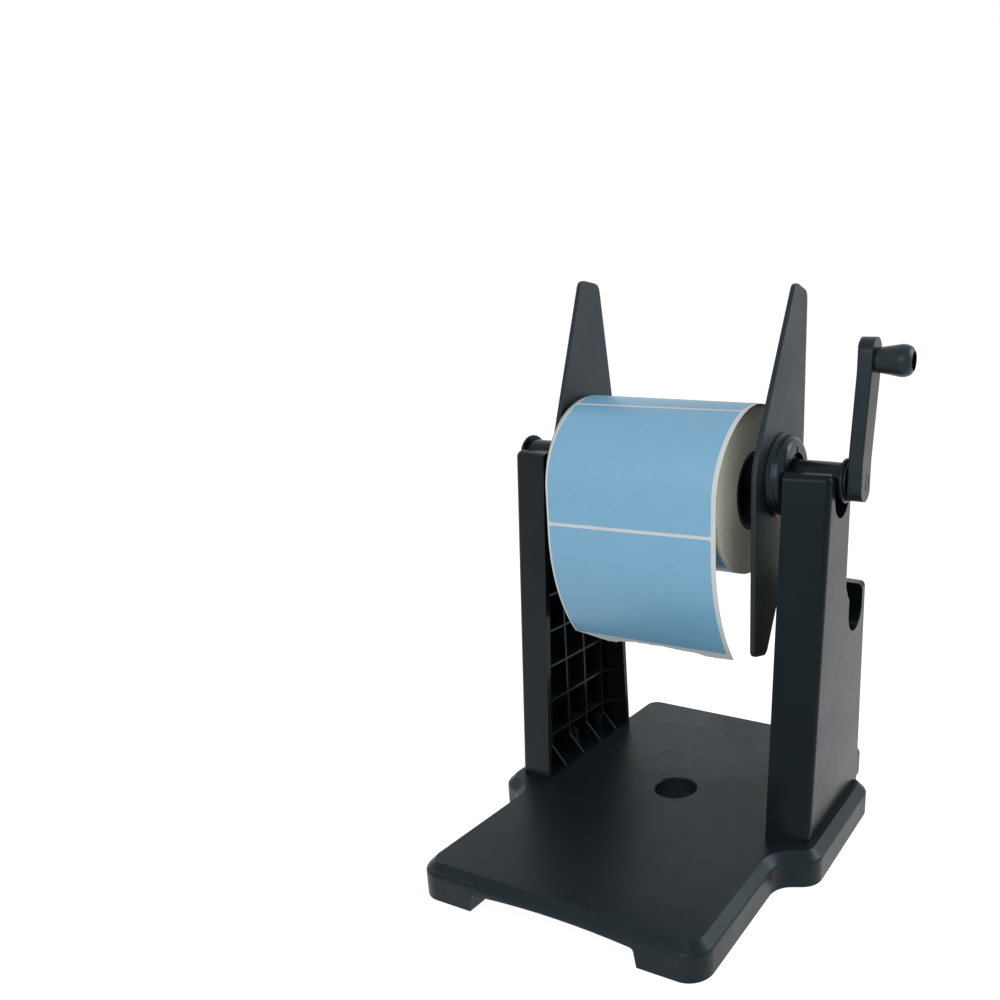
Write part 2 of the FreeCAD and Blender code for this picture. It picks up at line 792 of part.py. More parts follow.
def build_bearings():
    """Saddles, bushes, the washer and the clip that hold the spindle endways."""
    seat = "spindle_radius + running_gap"
    outer = "spindle_notch_radius - running_gap"
    centre = "upright_top - notch_depth + spindle_notch_radius"
    middle = "spindle_offset - spindle_notch_offset"
    start = "upright_rim + saddle_inset"
    length = "upright_face - saddle_recess - upright_rim - saddle_inset"
    floor = bar("SaddleFloor", outer, length, start, middle, centre)
    walls = block("SaddleWalls", length, "2 * (%s)" % outer,
                  "spindle_height - (%s)" % centre, start, "%s - (%s)" % (middle, outer),
                  centre)
    bore = bar("SaddleSeat", seat, length + " + 2", start + " - 1", "spindle_offset",
               "spindle_height")
    saddle = cut("RightSaddle", joined("SaddleSolid", [floor, walls]), bore)
    keep("right_saddle", saddle)
    keep("left_saddle", mirrored("LeftSaddle", saddle))

    bush_start = "upright_rim + side_gap"
    flange_start = "upright_face + bush_stand_off"
    flange_end = flange_start + " + bush_flange_thickness"
    bore = "journal_radius + running_gap"
    bush = turned("RightBush", [
        (bush_start, bore),
        (flange_end, bore),
        (flange_end, "bush_flange_radius - 0.6"),
        (flange_end + " - 0.6", "bush_flange_radius"),
        (flange_start + " + 0.4", "bush_flange_radius"),
        (flange_start, "bush_flange_radius - 0.4"),
        (flange_start, "spindle_radius"),
        (bush_start, "spindle_radius"),
    ])
    on_spindle(bush)
    keep("right_bush", bush)
    keep("left_bush", mirrored("LeftBush", bush))

    washer_start = flange_end + " + running_gap * 2"
    washer = ring("CrankWasher", washer_start, washer_start + " + washer_thickness",
                  bore, "washer_radius")
    on_spindle(washer)
    keep("crank_washer", washer)

    clip_start = flange_end + " + side_gap"
    clip = ring("SpindleClip", "-(%s + clip_thickness)" % clip_start, "-(%s)" % clip_start,
                "clip_groove_radius", "clip_radius")
    sketch = rectangle(clip, "ClipMouthOutline", "YZ_Plane", "-clip_groove_radius * 0.8",
                       "clip_groove_radius * 0.8", "-2 * clip_radius", "0",
                       "-(%s)" % clip_start)
    pocket(clip, "ClipMouth", sketch, "clip_thickness")
    on_spindle(clip)
    keep("spindle_clip", clip)


# Spindle and crank


def build_spindle():
    """The spindle: a thick middle, a journal at each end and the crank's spigot."""
    groove = "upright_face + bush_stand_off + bush_flange_thickness + side_gap"
    spigot_end = "crank_inner + crank_socket_depth - side_gap"
    spindle = turned("Spindle", [
        ("-spindle_tail_end", "0"),
        ("-spindle_tail_end", "journal_radius - 0.5"),
        ("-spindle_tail_end + 0.5", "journal_radius"),
        ("-(%s + clip_thickness)" % groove, "journal_radius"),
        ("-(%s + clip_thickness)" % groove, "clip_groove_radius"),
        ("-(%s)" % groove, "clip_groove_radius"),
        ("-(%s)" % groove, "journal_radius"),
        ("-upright_rim", "journal_radius"),
        ("-upright_rim", "spindle_radius"),
        ("upright_rim", "spindle_radius"),
        ("upright_rim", "journal_radius"),
        ("crank_inner", "journal_radius"),
        ("crank_inner", "crank_socket_radius"),
        (spigot_end, "crank_socket_radius"),
        (spigot_end, "crank_screw_radius"),
        ("%s - crank_screw_length" % spigot_end, "crank_screw_radius"),
        ("%s - crank_screw_length" % spigot_end, "0"),
    ])
    on_spindle(spindle)
    keep("spindle", spindle)


def build_crank():
    """The crank arm, its screw, and the knob on its shoulder screw."""
    outer = "crank_inner + crank_thickness"
    low = "-2 * crank_foot_end"
    high = "crank_throw + 2 * crank_head_end"
    profile = new_body("CrankSide")
    sketch = outline(profile, "CrankSideOutline", "XZ_Plane", [
        ("crank_inner", low),
        (outer, low),
        (outer, "crank_joggle_start"),
        (outer + " + crank_joggle", "crank_joggle_end"),
        (outer + " + crank_joggle", high),
        ("crank_inner + crank_joggle", high),
        ("crank_inner + crank_joggle", "crank_joggle_end"),
        ("crank_inner", "crank_joggle_start"),
    ])
    pad(profile, "CrankSideBlock", sketch, "2 * crank_half_width", midplane=True)
    half_width = sheet.get("crank_half_width")
    round_edges(profile, "CrankEdges", "crank_edge_radius",
                lambda edge, middle: abs(abs(middle.y) - half_width) < 0.01
                and edge.BoundBox.ZLength > 1)
    on_spindle(profile)
    start = "crank_inner - 1"
    through = "crank_thickness + crank_joggle + 2"
    foot = "spindle_height - crank_foot_end + crank_half_width"
    shank = "crank_throw + crank_foot_end + crank_head_end - 2 * crank_half_width"
    face = joined("CrankFace", [
        bar("CrankFoot", "crank_half_width", through, start, "spindle_offset", foot),
        bar("CrankHead", "crank_half_width", through, start, "spindle_offset",
            foot + " + " + shank),
        block("CrankShank", through, "2 * crank_half_width", shank, start,
              "spindle_offset - crank_half_width", foot),
    ])
    cone = doc.addObject("Part::Cone", "CrankCountersink")
    bind(cone, "Radius1", "crank_screw_radius + screw_play")
    bind(cone, "Radius2", "crank_screw_head + screw_play")
    bind(cone, "Height", "crank_screw_cone")
    cone.Placement = FreeCAD.Placement(FreeCAD.Vector(), FreeCAD.Rotation(Y_AXIS, 90))
    on_spindle(cone, outer + " - crank_screw_cone")
    holes = joined("CrankHoles", [
        bar("CrankSocket", "crank_socket_radius + running_gap", "crank_socket_depth + 1",
            start, "spindle_offset", "spindle_height"),
        bar("CrankScrewHole", "crank_screw_radius + screw_play", through, start,
            "spindle_offset", "spindle_height"),
        bar("KnobPinHole", "crank_screw_radius + screw_play", through, start,
            "spindle_offset", "spindle_height + crank_throw"),
        cone,
    ])
    keep("crank_arm", cut("CrankArm", shared("CrankBlank", profile, face), holes))

    tip = "crank_inner + crank_socket_depth - crank_screw_length + 1"
    screw = turned("CrankScrew", [
        (tip, "0"),
        (tip, "crank_screw_radius - screw_play"),
        (outer + " - crank_screw_cone", "crank_screw_radius - screw_play"),
        (outer + " - 0.2", "crank_screw_head - 0.2"),
        (outer + " - 0.2", "0"),
    ])
    on_spindle(screw)
    sketch = rectangle(screw, "CrankScrewSlotOutline", "XY_Plane", outer + " - 1.2", outer,
                       "-0.5", "0.5")
    pocket(screw, "CrankScrewSlot", sketch, "3 * crank_screw_head", midplane=True)
    keep("crank_screw", screw)

    crank_out = outer + " + crank_joggle"
    washer = ring("KnobWasher", crank_out, crank_out + " + knob_washer_thickness",
                  "knob_pin_radius + running_gap", "knob_neck_radius - 0.4")
    on_spindle(washer, rise="crank_throw")
    keep("knob_washer", washer)

    knob_start = crank_out + " + knob_washer_thickness + side_gap / 3"
    knob_end = knob_start + " + knob_length"
    knob = turned("CrankKnob", [
        (knob_start, "knob_pin_radius + running_gap"),
        (knob_end + " - knob_recess_depth", "knob_pin_radius + running_gap"),
        (knob_end + " - knob_recess_depth", "knob_recess_radius"),
        (knob_end, "knob_recess_radius"),
        (knob_end, "knob_end_radius"),
        (knob_end + " - knob_length * 0.08", "knob_radius - 1.1"),
        (knob_end + " - knob_length * 0.2", "knob_radius - 0.2"),
        (knob_end + " - knob_length * 0.33", "knob_radius"),
        (knob_start + " + knob_length * 0.1", "knob_neck_radius"),
        (knob_start, "knob_neck_radius"),
    ])
    on_spindle(knob, rise="crank_throw")
    keep("crank_knob", knob)

    head_start = knob_end + " - knob_recess_depth + side_gap / 3"
    pin = turned("KnobPin", [
        ("crank_inner + crank_joggle + 0.3", "0"),
        ("crank_inner + crank_joggle + 0.3", "crank_screw_radius"),
        (crank_out, "crank_screw_radius"),
        (crank_out, "knob_pin_radius"),
        (head_start, "knob_pin_radius"),
        (head_start, "knob_pin_head_radius"),
        (head_start + " + knob_pin_head_height", "knob_pin_head_radius - 0.5"),
        (head_start + " + knob_pin_head_height", "0"),
    ])
    on_spindle(pin, rise="crank_throw")
    keep("knob_pin", pin)


# Flanges: a bow-tie plate, a hub on its outer side and a rubber grip in the hub


def build_flange(side, sign):
    """One flange with its hub and grip, on the right (+1) or the left (-1)."""
    title = side.title()
    plate = new_body(title + "Flange")
    sketch = outline(plate, title + "FlangeOutline", "YZ_Plane", [
        ("-flange_tip_half_width", "flange_reach"),
        ("flange_tip_half_width", "flange_reach"),
        ("flange_half_width", "0"),
        ("flange_tip_half_width", "-flange_reach"),
        ("-flange_tip_half_width", "-flange_reach"),
        ("-flange_half_width", "0"),
    ], "flange_inner")
    pad(plate, title + "FlangePlate", sketch, "flange_thickness")
    half_width = sheet.get("flange_half_width")
    reach = sheet.get("flange_reach")
    round_edges(plate, title + "FlangeTips", "flange_tip_radius",
                lambda edge, middle: abs(abs(middle.z) - reach) < 0.01
                and edge.BoundBox.XLength > 1)
    round_edges(plate, title + "FlangeWaist", "flange_waist_radius",
                lambda edge, middle: abs(abs(middle.y) - half_width) < 0.01
                and edge.BoundBox.XLength > 1)
    eye = bar(title + "FlangeEye", "hub_spigot_radius + running_gap",
              "flange_thickness + 2", "flange_inner - 1", "0", "0")
    flange = cut(title + "FlangeCut", plate, eye)
    if sign < 0:
        flange = mirrored(title + "FlangeMirror", flange)
    bind(flange, ".Placement.Base.y", "spindle_offset")
    bind(flange, ".Placement.Base.z", "spindle_height")
    flange.Placement.Rotation = FreeCAD.Rotation(X_AXIS, -sheet.get(side + "_flange_angle"))
    keep(side + "_flange", flange)

    plate_outer = "flange_inner + flange_thickness"
    spigot_end = plate_outer + " - hub_spigot_length"
    hub_end = plate_outer + " + hub_length"
    grip_end = hub_end + " - grip_recess"
    pocket_end = grip_end + " - grip_length"
    clear_bore = "spindle_radius + side_gap"
    hub = turned(title + "Hub", [
        (spigot_end, clear_bore),
        (pocket_end, clear_bore),
        (pocket_end, "hub_bore_radius"),
        (hub_end, "hub_bore_radius"),
        (hub_end, "hub_radius"),
        (plate_outer + " + 2 * hub_base_thickness", "hub_radius"),
        (plate_outer + " + hub_base_thickness", "hub_base_radius - 0.6"),
        (plate_outer + " + hub_base_thickness - 0.6", "hub_base_radius"),
        (plate_outer, "hub_base_radius"),
        (plate_outer, "hub_spigot_radius"),
        (spigot_end, "hub_spigot_radius"),
    ])
    rim = sheet.get("hub_radius")
    end = (sheet.get("flange_inner") + sheet.get("flange_thickness")
           + sheet.get("hub_length"))
    round_edges(hub, title + "HubRim", "hub_edge_radius",
                lambda edge, middle: abs(middle.x - end) < 0.01
                and abs(math.hypot(middle.y, middle.z) - rim) < 0.1)
    sketch = rectangle(hub, title + "HubSlitOutline", "YZ_Plane", "-hub_slit_width / 2",
                       "hub_slit_width / 2", "0", "hub_bore_radius + hub_slit_height",
                       hub_end)
    pocket(hub, title + "HubSlit", sketch, "hub_slit_depth")
    grip = ring(title + "Grip", pocket_end, grip_end, "spindle_radius + running_gap",
                "hub_bore_radius")
    for name, piece in (("hub", hub), ("grip", grip)):
        on_spindle(piece)
        if sign < 0:
            piece = mirrored(title + name.title() + "Mirror", piece)
        keep("%s_%s" % (side, name), piece)


# Roll of labels: it hangs on the spindle by its core


def build_roll():
    """The core, the winding, and the web with a label on it."""
    roll_right = "roll_width - roll_left"
    drop = "spindle_radius + running_gap - core_bore_radius"
    core_radius = "core_bore_radius + core_wall"
    core = ring("RollCore", "-roll_left", roll_right, "core_bore_radius", core_radius)
    on_spindle(core, rise=drop)
    keep("roll_core", core)
    winding = ring("LabelRoll", "-roll_left", roll_right, core_radius, "roll_radius")
    on_spindle(winding, rise=drop)
    keep("label_roll", winding)


def web_solid(low, high, start, length, left, right):
    """A strip of the hanging web: straight down from the roll, then curling back.

    The strip lies between two heights above the web's back, two distances along
    the web and two planes across it.
    """
    inner = sheet.get("roll_radius") + sheet.get("side_gap")
    curl = sheet.get("web_curl_radius")
    straight = sheet.get("web_straight")
    front = -inner
    height = (sheet.get("spindle_height") + sheet.get("spindle_radius")
              + sheet.get("running_gap") - sheet.get("core_bore_radius"))
    offset = sheet.get("spindle_offset")

    def point(distance, proud):
        """The web's point at a distance from its top, this far proud of its back."""
        if distance <= straight:
            return FreeCAD.Vector(left, offset + front - proud, height - distance)
        angle = (distance - straight) / curl
        radius = curl + proud
        return FreeCAD.Vector(left, offset + front + curl - radius * math.cos(angle),
                              height - straight - radius * math.sin(angle))

    def side(proud, reverse):
        """The web's line on one of its faces, as edges."""
        bend = max(start, min(straight, start + length))
        edges = []
        if bend > start:
            edges.append(Part.makeLine(point(start, proud), point(bend, proud)))
        if start + length > bend:
            middle = (bend + start + length) / 2
            arc = Part.Arc(point(bend, proud), point(middle, proud),
                           point(start + length, proud))
            edges.append(arc.toShape())
        return list(reversed(edges)) if reverse else edges

    edges = side(low, False)
    edges.append(Part.makeLine(point(start + length, low), point(start + length, high)))
    edges += side(high, True)
    edges.append(Part.makeLine(point(start, high), point(start, low)))
    face = Part.Face(Part.Wire(Part.__sortEdges__(edges)))
    return face.extrude(FreeCAD.Vector(right - left, 0, 0))


def build_web():
    """The free end of the web, and the label that is stuck on it."""
    thickness = sheet.get("web_thickness")
    left = -sheet.get("roll_left")
    right = left + sheet.get("roll_width")
    curled = sheet.get("web_curl_radius") * math.radians(sheet.get("web_curl_angle"))
    web = doc.addObject("Part::Feature", "LabelWeb")
    web.Shape = web_solid(0, thickness, 0, sheet.get("web_straight") + curled, left, right)
    web.Placement = FreeCAD.Placement()
    keep("label_web", web)

    margin = sheet.get("label_margin")
    upper = sheet.get("label_top") - sheet.get("label_gap")
    strips = [
        web_solid(thickness, thickness + sheet.get("label_thickness"), start, length,
                  left + margin, right - margin)
        for start, length in ((0, upper), (sheet.get("label_top"), sheet.get("label_length")))
    ]
    labels = doc.addObject("Part::Feature", "WebLabels")
    labels.Shape = Part.makeCompound(strips)
    labels.Placement = FreeCAD.Placement()
    keep("web_labels", labels)


# Assembly, check and export

build_base()
build_feet()
build_uprights()
build_upright_screws()
build_bearings()
build_spindle()
build_crank()
for side_name, side_sign in SIDES:
    build_flange(side_name, side_sign)
build_roll()
build_web()
doc.recompute()

for item in doc.Objects:
    if "Invalid" in item.State or "Error" in item.State:
        raise ValueError("%s failed: %s" % (item.Label, item.State))
for item in nodes:
    if item.Shape.isNull() or not item.Shape.isValid() or not item.Shape.Solids:
        raise ValueError(item.Label + " has no valid solid")

os.makedirs("parts", exist_ok=True)
for item in nodes:
    item.Shape.exportStep("parts/%s.step" % item.Label)
    print("%-18s %d solid(s) %10.1f mm3" % (item.Label, len(item.Shape.Solids),
                                            item.Shape.Volume))
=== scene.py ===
import json
import math

import bmesh
import bpy
from mathutils import Matrix, Vector, noise

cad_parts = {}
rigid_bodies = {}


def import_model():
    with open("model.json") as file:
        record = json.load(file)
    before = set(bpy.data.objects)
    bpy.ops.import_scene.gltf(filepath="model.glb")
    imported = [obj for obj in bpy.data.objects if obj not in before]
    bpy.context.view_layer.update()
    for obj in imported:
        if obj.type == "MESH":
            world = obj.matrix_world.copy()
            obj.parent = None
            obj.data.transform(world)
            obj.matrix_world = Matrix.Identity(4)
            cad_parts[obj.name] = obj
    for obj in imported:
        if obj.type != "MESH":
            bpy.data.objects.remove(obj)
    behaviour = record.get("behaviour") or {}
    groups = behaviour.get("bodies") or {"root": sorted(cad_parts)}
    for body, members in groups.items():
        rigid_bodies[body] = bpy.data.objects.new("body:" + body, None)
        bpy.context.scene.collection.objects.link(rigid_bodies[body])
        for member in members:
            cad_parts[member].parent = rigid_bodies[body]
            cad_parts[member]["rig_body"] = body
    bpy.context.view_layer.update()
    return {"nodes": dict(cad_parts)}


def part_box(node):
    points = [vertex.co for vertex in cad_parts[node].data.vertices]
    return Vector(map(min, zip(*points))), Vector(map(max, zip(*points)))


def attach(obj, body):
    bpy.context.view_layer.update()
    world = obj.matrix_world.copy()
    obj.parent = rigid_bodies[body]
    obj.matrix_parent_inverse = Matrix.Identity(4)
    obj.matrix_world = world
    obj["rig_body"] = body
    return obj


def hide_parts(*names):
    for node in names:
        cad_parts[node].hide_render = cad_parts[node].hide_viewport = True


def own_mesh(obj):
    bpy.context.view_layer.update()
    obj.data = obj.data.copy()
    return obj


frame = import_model()
nodes = frame["nodes"]


# ---------------------------------------------------------------------------
# Studio: a pale floor under the machine, a large soft lamp high on its right
# and behind it, a weaker one in front, and a plain white surround.
# The camera stands a little to the right and looks down on the base.

mm = 0.001


def linear(code):
    """An sRGB hex colour as the linear colour that a shader takes."""
    values = [int(code[place:place + 2], 16) / 255 for place in (1, 3, 5)]
    return tuple(v / 12.92 if v <= 0.04045 else ((v + 0.055) / 1.055) ** 2.4
                 for v in values) + (1.0,)


def add(tree, kind, inputs=None, **settings):
    """Add a node with its settings, and give its inputs values or links."""
    made = tree.nodes.new(kind)
    for name, value in settings.items():
        setattr(made, name, value)
    for name, value in (inputs or {}).items():
        if isinstance(value, bpy.types.NodeSocket):
            tree.links.new(value, made.inputs[name])
        else:
            made.inputs[name].default_value = value
    return made


def new_material(name):
    """An empty material, its node tree and its output."""
    made = bpy.data.materials.new(name)
    made.use_nodes = True
    made.node_tree.nodes.clear()
    return made, made.node_tree, made.node_tree.nodes.new("ShaderNodeOutputMaterial")


def seen_plainly(tree):
    """1 where a surface is seen by the camera, in a gloss or through glass, else 0."""
    path = add(tree, "ShaderNodeLightPath").outputs
    seen = add(tree, "ShaderNodeMath", {0: path["Is Camera Ray"], 1: path["Is Glossy Ray"]},
               operation="MAXIMUM")
    seen = add(tree, "ShaderNodeMath", {0: seen.outputs[0], 1: path["Is Transmission Ray"]},
               operation="MAXIMUM")
    return seen.outputs[0]


floor_mesh = bpy.data.meshes.new("studio_floor")
floor_half = 12.0
floor_mesh.from_pydata([(-floor_half, -floor_half, 0), (floor_half, -floor_half, 0),
                        (floor_half, floor_half, 0), (-floor_half, floor_half, 0)],
                       [], [(0, 1, 2, 3)])
studio_floor = bpy.data.objects.new("studio_floor", floor_mesh)
bpy.context.scene.collection.objects.link(studio_floor)

paper_floor, tree, output = new_material("matt studio floor")
matt = add(tree, "ShaderNodeBsdfDiffuse", {"Color": linear("#b4b4b4")})
lift = add(tree, "ShaderNodeEmission", {"Color": linear("#ffffff"), "Strength": 0.85})
lifted = add(tree, "ShaderNodeAddShader", {0: matt.outputs[0], 1: lift.outputs[0]})
choice = add(tree, "ShaderNodeMixShader", {0: seen_plainly(tree), 1: matt.outputs[0],
                                           2: lifted.outputs[0]})
tree.links.new(choice.outputs[0], output.inputs["Surface"])
floor_mesh.materials.append(paper_floor)

world = bpy.data.worlds.new("white surround")
world.use_nodes = True
tree = world.node_tree
tree.nodes.clear()
fill_light = add(tree, "ShaderNodeBackground", {"Color": linear("#ffffff"), "Strength": 0.45})
backdrop = add(tree, "ShaderNodeBackground", {"Color": linear("#ffffff"), "Strength": 1.0})
choice = add(tree, "ShaderNodeMixShader", {0: seen_plainly(tree), 1: fill_light.outputs[0],
                                           2: backdrop.outputs[0]})
add(tree, "ShaderNodeOutputWorld", {"Surface": choice.outputs[0]})
bpy.context.scene.world = world


def softbox(name, place, aim, size, watts):
    """A square soft lamp at a place, turned towards a point."""
    lamp = bpy.data.lights.new(name, "AREA")
    lamp.size = size
    lamp.energy = watts
    box = bpy.data.objects.new(name, lamp)
    box.location = place
    box.rotation_euler = (Vector(aim) - Vector(place)).to_track_quat("-Z", "Y").to_euler()
    bpy.context.scene.collection.objects.link(box)


machine_middle = (0, 0, 0.15)
softbox("lamp_right_rear", (1.25, 0.75, 0.9), machine_middle, 0.9, 17)
softbox("lamp_front", (0.1, -1.5, 0.7), machine_middle, 1.0, 13)

camera_data = bpy.data.cameras.new("camera")
camera_data.sensor_width = 36.0
camera_data.lens = 32.61
camera_data.shift_x = -0.23668
camera_data.shift_y = 0.11849
camera = bpy.data.objects.new("camera", camera_data)
yaw, pitch, roll = math.radians(24.67), math.radians(18.06), math.radians(0.68)
ahead = Vector((-math.sin(yaw) * math.cos(pitch), math.cos(yaw) * math.cos(pitch),
                -math.sin(pitch)))
level = Vector((math.cos(yaw), math.sin(yaw), 0))
above = level.cross(ahead)
across = math.cos(roll) * level + math.sin(roll) * above
upward = -math.sin(roll) * level + math.cos(roll) * above
stand = Vector((0.24512, -0.44487, 0.29773))
camera.matrix_world = Matrix((
    (across.x, upward.x, -ahead.x, stand.x),
    (across.y, upward.y, -ahead.y, stand.y),
    (across.z, upward.z, -ahead.z, stand.z),
    (0, 0, 0, 1)))
bpy.context.scene.collection.objects.link(camera)
bpy.context.scene.camera = camera
bpy.context.scene.view_settings.view_transform = "Standard"


# ---------------------------------------------------------------------------
# Base plate: one injection moulding of black ABS, with a fine even grain from
# the mould and rubbed, slightly shinier patches. It has a lifting arch in
# front, a round hole in the middle and ribs below.


def moulded_abs(name, colour, worn_and_edge_highlight, grain=0.45, roughness=0.42, level=0.17):
    """Black ABS as it leaves a spark-eroded mould.

    The grain in millimetres is drawn coarser than the real quarter of one, so that
    it shows. It dulls the surface, and handling polishes it again in patches and
    pales them. The edges are drawn paler as well: a painted highlight, where their
    rounding would catch the light.
    """
    material, tree, output = new_material(name)
    place = add(tree, "ShaderNodeTexCoord").outputs["Object"]
    fine = add(tree, "ShaderNodeTexNoise", {"Vector": place, "Scale": 1 / (grain * mm),
                                            "Detail": 3.0, "Roughness": 0.6})
    patches = add(tree, "ShaderNodeTexNoise", {"Vector": place, "Scale": 1 / (38 * mm),
                                               "Detail": 5.0, "Roughness": 0.62})
    smears = add(tree, "ShaderNodeMapRange", {"Value": patches.outputs["Fac"],
                                              "From Min": 0.3, "From Max": 0.7,
                                              "To Min": roughness + 0.07,
                                              "To Max": roughness - 0.06})
    # Painted highlight: the broken edges are found where a rounded normal parts from the flat
    # one, and are drawn paler there, standing in for the light their rounding would catch.
    eased = add(tree, "ShaderNodeBevel", {"Radius": 0.8 * mm}, samples=6)
    flat = add(tree, "ShaderNodeNewGeometry")
    match = add(tree, "ShaderNodeVectorMath", {0: eased.outputs[0],
                                               1: flat.outputs["Normal"]},
                operation="DOT_PRODUCT")
    edge = add(tree, "ShaderNodeMapRange", {"Value": match.outputs["Value"],
                                            "From Min": 0.995, "From Max": 0.9,
                                            "To Min": 0.0, "To Max": 0.5})
    tone = add(tree, "ShaderNodeMapRange", {"Value": patches.outputs["Fac"],
                                            "From Min": 0.35, "From Max": 0.75,
                                            "To Min": 0.0, "To Max": 0.25})
    # The paler colour is laid on the rubbed patches, which are wear, and on the edges, where
    # it is painted highlight.
    wear_and_edge_highlight_mask = add(tree, "ShaderNodeMath", {0: edge.outputs[0], 1: tone.outputs[0]},
                 operation="MAXIMUM")
    paint = add(tree, "ShaderNodeMix", {"Factor": wear_and_edge_highlight_mask.outputs[0],
                                        6: linear(colour), 7: linear(worn_and_edge_highlight)},
                data_type="RGBA")
    bump = add(tree, "ShaderNodeBump", {"Height": fine.outputs["Fac"],
                                        "Strength": 0.22, "Distance": 0.04 * mm})
    body = add(tree, "ShaderNodeBsdfPrincipled", {
        "Base Color": paint.outputs[2],
        "Roughness": smears.outputs[0],
        "IOR": 1.54,
        "Specular IOR Level": level,
        "Specular Tint": linear("#c8e6f6"),
        "Normal": bump.outputs[0],
    })
    tree.links.new(body.outputs[0], output.inputs["Surface"])
    return material


mesh_joint = 0.002 * mm
flat_turn = math.radians(0.3)
smooth_turn = math.radians(32)
sharp_turn = math.radians(38)


def finished_copy(node, name, edge, material):
    """A CAD node's shape with its faces merged and its sharp edges broken.

    The edge is the radius in millimetres that its mould or tool leaves, and edges
    that turn less than the smooth turn are shaded as one surface.
    """
    merged = bmesh.new()
    merged.from_mesh(nodes[node].data)
    bmesh.ops.remove_doubles(merged, verts=merged.verts, dist=mesh_joint)
    bmesh.ops.dissolve_limit(merged, angle_limit=flat_turn, verts=merged.verts,
                             edges=merged.edges)
    mesh = bpy.data.meshes.new(name)
    merged.to_mesh(mesh)
    merged.free()
    piece = bpy.data.objects.new(name, mesh)
    bpy.context.scene.collection.objects.link(piece)
    if edge:
        rounding = piece.modifiers.new("broken edges", "BEVEL")
        rounding.width = edge * mm
        rounding.segments = 2
        rounding.limit_method = "ANGLE"
        rounding.angle_limit = sharp_turn
        rounding.use_clamp_overlap = True
    mesh = made_plain(piece)
    mesh.set_sharp_from_angle(angle=smooth_turn)
    even = piece.modifiers.new("even shading", "WEIGHTED_NORMAL")
    even.keep_sharp = True
    made_plain(piece)
    clad(piece, material, node)


def made_plain(piece):
    """Turn a piece's modifiers into its mesh, shaded smooth."""
    depsgraph = bpy.context.evaluated_depsgraph_get()
    mesh = bpy.data.meshes.new_from_object(piece.evaluated_get(depsgraph))
    piece.modifiers.clear()
    piece.data = mesh
    mesh.shade_smooth()
    return mesh


def clad(piece, material, *stands_for):
    """Give a piece its material and the body of the first node it stands for, and hide those
    nodes.
    """
    piece.data.materials.clear()
    piece.data.materials.append(material)
    node = stands_for[0]
    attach(piece, nodes[node]["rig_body"])
    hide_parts(*stands_for)


base_abs = moulded_abs("black ABS, spark-eroded grain", "#111618", "#2b3134", roughness=0.38,
                       level=0.18)
finished_copy("base", "base_plate", 0.35, base_abs)


# ---------------------------------------------------------------------------
# Feet: four turned pads of black rubber, pressed into the seats under the
# corners of the base.


def black_rubber(name):
    """Moulded rubber: nearly black, dull, with a soft dusty bloom."""
    material, tree, output = new_material(name)
    place = add(tree, "ShaderNodeTexCoord").outputs["Object"]
    bloom = add(tree, "ShaderNodeTexNoise", {"Vector": place, "Scale": 1 / (3 * mm),
                                             "Detail": 4.0})
    paint = add(tree, "ShaderNodeMix", {"Factor": bloom.outputs["Fac"],
                                        6: linear("#0b0b0c"), 7: linear("#151516")},
                data_type="RGBA")
    bump = add(tree, "ShaderNodeBump", {"Height": bloom.outputs["Fac"],
                                        "Strength": 0.2, "Distance": 0.05 * mm})
    body = add(tree, "ShaderNodeBsdfPrincipled", {
        "Base Color": paint.outputs[2],
        "Roughness": 0.78,
        "IOR": 1.52,
        "Normal": bump.outputs[0],
    })
    tree.links.new(body.outputs[0], output.inputs["Surface"])
    return material


foot_rubber = black_rubber("black rubber, dusty")
for corner in ("front_right", "front_left", "rear_right", "rear_left"):
    finished_copy("foot_" + corner, corner + "_foot", 0, foot_rubber)


# ---------------------------------------------------------------------------
# Uprights: two hollow ABS mouldings, mirror images, closed on their outer faces
# and stiffened inside by a lattice of ribs. Their notches carry the bushes.

upright_abs = moulded_abs("black ABS upright, fine grain", "#0d1214", "#23292c",
                          roughness=0.22, level=0.11)
for side in ("right", "left"):
    finished_copy(side + "_upright", side + "_upright_moulding", 0.3, upright_abs)


# ---------------------------------------------------------------------------
# Screws of the uprights: six zinc-plated tapping screws, driven up from under
# the base into the uprights' bosses.


def plated_steel(name, colour, roughness):
    """Plated steel: a bright metal with faint blotches in its polish."""
    material, tree, output = new_material(name)
    place = add(tree, "ShaderNodeTexCoord").outputs["Object"]
    blotch = add(tree, "ShaderNodeTexNoise", {"Vector": place, "Scale": 1 / (2 * mm),
                                              "Detail": 3.0})
    shine = add(tree, "ShaderNodeMapRange", {"Value": blotch.outputs["Fac"],
                                             "To Min": roughness - 0.06,
                                             "To Max": roughness + 0.08})
    body = add(tree, "ShaderNodeBsdfPrincipled", {
        "Base Color": linear(colour),
        "Metallic": 1.0,
        "Roughness": shine.outputs[0],
    })
    tree.links.new(body.outputs[0], output.inputs["Surface"])
    return material


zinc = plated_steel("zinc-plated steel", "#b9bbbd", 0.36)
blackened = plated_steel("blackened steel", "#4b4e51", 0.5)


def paint_node(node, material):
    """Give a CAD node, which keeps its own mesh, its finish."""
    nodes[node].material_slots[0].material = material


paint_node("upright_screws", zinc)


# ---------------------------------------------------------------------------
# Saddles and bushes: half-round seats in the floor of each notch, and flanged
# sleeves of smooth acetal that the spindle's ends turn in.

saddle_abs = moulded_abs("black ABS saddle", "#17191b", "#303436", roughness=0.5)
acetal = moulded_abs("black acetal, turned smooth", "#0f1214", "#22272a", grain=0.9,
                     roughness=0.2, level=0.17)
for side in ("right", "left"):
    finished_copy(side + "_saddle", side + "_saddle_seat", 0.2, saddle_abs)
    finished_copy(side + "_bush", side + "_bush_sleeve", 0.25, acetal)


